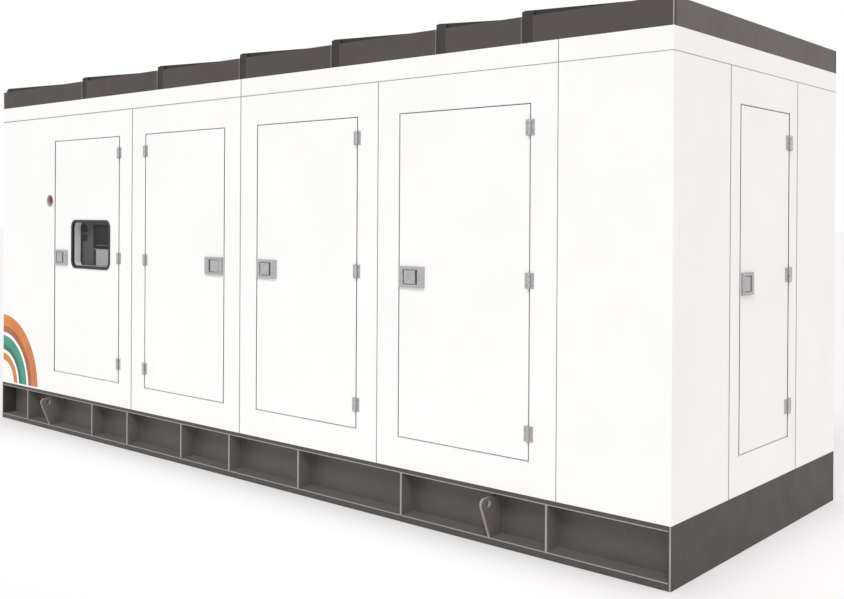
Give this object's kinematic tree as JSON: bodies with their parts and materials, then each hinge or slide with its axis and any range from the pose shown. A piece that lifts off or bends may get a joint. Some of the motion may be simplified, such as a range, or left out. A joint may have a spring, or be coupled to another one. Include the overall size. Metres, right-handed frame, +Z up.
{
  "type": "diesel generator set",
  "caption": "Enclosed diesel generator set: white sheet-metal housing with hinged service doors and a control window, on a dark grey flanged base with lifting lugs, under a stepped roof.",
  "frame": {"origin": "floor level under the middle of the base", "axes": "+X towards the end with the working door, -Y the long side with the control window and the working doors, +Z up"},
  "size_m": [6.536, 2.36, 2.911],
  "materials": {
    "white_paint": "semi-gloss white powder coat on folded steel sheet",
    "grey_paint": "satin dark grey paint on steel",
    "deck_sheet": "satin grey paint on steel sheet",
    "zinc_fittings": "dull zinc-plated steel",
    "black_rubber": "matt black rubber",
    "window_glass": "clear flat glass",
    "instrument_black": "glossy dark bluish plastic",
    "instrument_grey": "matt light grey plastic",
    "stop_red": "dark red plastic"
  },
  "bodies": {
    "housing": {"base_webs": "grey_paint", "base_flanges": "grey_paint", "base_ribs": "grey_paint", "base_end_plates": "grey_paint", "base_deck": "deck_sheet", "lifting_lugs": "grey_paint", "front_wall_panels": "white_paint", "front_door_surrounds": "white_paint", "front_header_strips": "white_paint", "back_wall_panels": "white_paint", "back_door_surrounds": "white_paint", "back_header_strips": "white_paint", "end_wall_panels": "white_paint", "end_door_surrounds": "white_paint", "end_header_strips": "white_paint", "wall_posts": "zinc_fittings", "eaves_rails": "zinc_fittings", "roof_side_fascia": "grey_paint", "roof_end_fascia": "grey_paint", "roof_step_posts": "grey_paint", "roof_kerbs": "deck_sheet", "roof_panels": "deck_sheet", "frame_hinges": "zinc_fittings", "fixed_door_leaves": "white_paint", "fixed_door_hinges": "zinc_fittings", "fixed_door_latches": "zinc_fittings", "control_cabinet": "zinc_fittings", "display_unit": "instrument_black", "breaker_unit": "instrument_grey", "panel_buttons": "black_rubber", "stop_button_ring": "zinc_fittings"},
    "control_door": {"control_door_leaf": "white_paint", "control_door_hinges": "zinc_fittings", "control_door_latch": "zinc_fittings", "window_gasket": "black_rubber", "window_glass": "window_glass"},
    "control_door_paddle": {"control_door_paddle": "zinc_fittings"},
    "side_door_1": {"side_door_1_leaf": "white_paint", "side_door_1_hinges": "zinc_fittings", "side_door_1_latch": "zinc_fittings"},
    "side_door_1_paddle": {"side_door_1_paddle": "zinc_fittings"},
    "side_door_2": {"side_door_2_leaf": "white_paint", "side_door_2_hinges": "zinc_fittings", "side_door_2_latch": "zinc_fittings"},
    "side_door_2_paddle": {"side_door_2_paddle": "zinc_fittings"},
    "side_door_3": {"side_door_3_leaf": "white_paint", "side_door_3_hinges": "zinc_fittings", "side_door_3_latch": "zinc_fittings"},
    "side_door_3_paddle": {"side_door_3_paddle": "zinc_fittings"},
    "end_door": {"end_door_leaf": "white_paint", "end_door_hinges": "zinc_fittings", "end_door_latch": "zinc_fittings"},
    "end_door_paddle": {"end_door_paddle": "zinc_fittings"},
    "stop_button": {"stop_button": "stop_red"}
  },
  "joints": [
    {"name": "control_door_hinge", "type": "hinge", "parent": "housing", "child": "control_door", "pos_m": [-1.4425, -1.109, 1.453], "axis": [0, 0, 1], "range_deg": [0, 95]},
    {"name": "side_door_1_hinge", "type": "hinge", "parent": "housing", "child": "side_door_1", "pos_m": [-1.0935, -1.109, 1.453], "axis": [0, 0, -1], "range_deg": [0, 95]},
    {"name": "side_door_2_hinge", "type": "hinge", "parent": "housing", "child": "side_door_2", "pos_m": [1.1295, -1.109, 1.453], "axis": [0, 0, 1], "range_deg": [0, 95]},
    {"name": "side_door_3_hinge", "type": "hinge", "parent": "housing", "child": "side_door_3", "pos_m": [2.4155, -1.109, 1.453], "axis": [0, 0, 1], "range_deg": [0, 95]},
    {"name": "end_door_hinge", "type": "hinge", "parent": "housing", "child": "end_door", "pos_m": [3.259, 0.3325, 1.4705], "axis": [0, 0, 1], "range_deg": [0, 95]},
    {"name": "control_door_paddle_pivot", "type": "hinge", "parent": "control_door", "child": "control_door_paddle", "pos_m": [-2.3283, -1.1095, 1.447], "axis": [0, 0, -1], "range_deg": [0, 35], "stiffness_Nm_per_rad": 1},
    {"name": "side_door_1_paddle_pivot", "type": "hinge", "parent": "side_door_1", "child": "side_door_1_paddle", "pos_m": [-0.2077, -1.1095, 1.447], "axis": [0, 0, 1], "range_deg": [0, 35], "stiffness_Nm_per_rad": 1},
    {"name": "side_door_2_paddle_pivot", "type": "hinge", "parent": "side_door_2", "child": "side_door_2_paddle", "pos_m": [0.2437, -1.1095, 1.447], "axis": [0, 0, -1], "range_deg": [0, 35], "stiffness_Nm_per_rad": 1},
    {"name": "side_door_3_paddle_pivot", "type": "hinge", "parent": "side_door_3", "child": "side_door_3_paddle", "pos_m": [1.5297, -1.1095, 1.447], "axis": [0, 0, -1], "range_deg": [0, 35], "stiffness_Nm_per_rad": 1},
    {"name": "end_door_paddle_pivot", "type": "hinge", "parent": "end_door", "child": "end_door_paddle", "pos_m": [3.2595, -0.2941, 1.447], "axis": [0, 0, -1], "range_deg": [0, 35], "stiffness_Nm_per_rad": 1},
    {"name": "stop_button_press", "type": "slide", "parent": "housing", "child": "stop_button", "axis": [0, 1, 0], "range_m": [0, 0.005], "stiffness_N_per_m": 800}
  ]
}
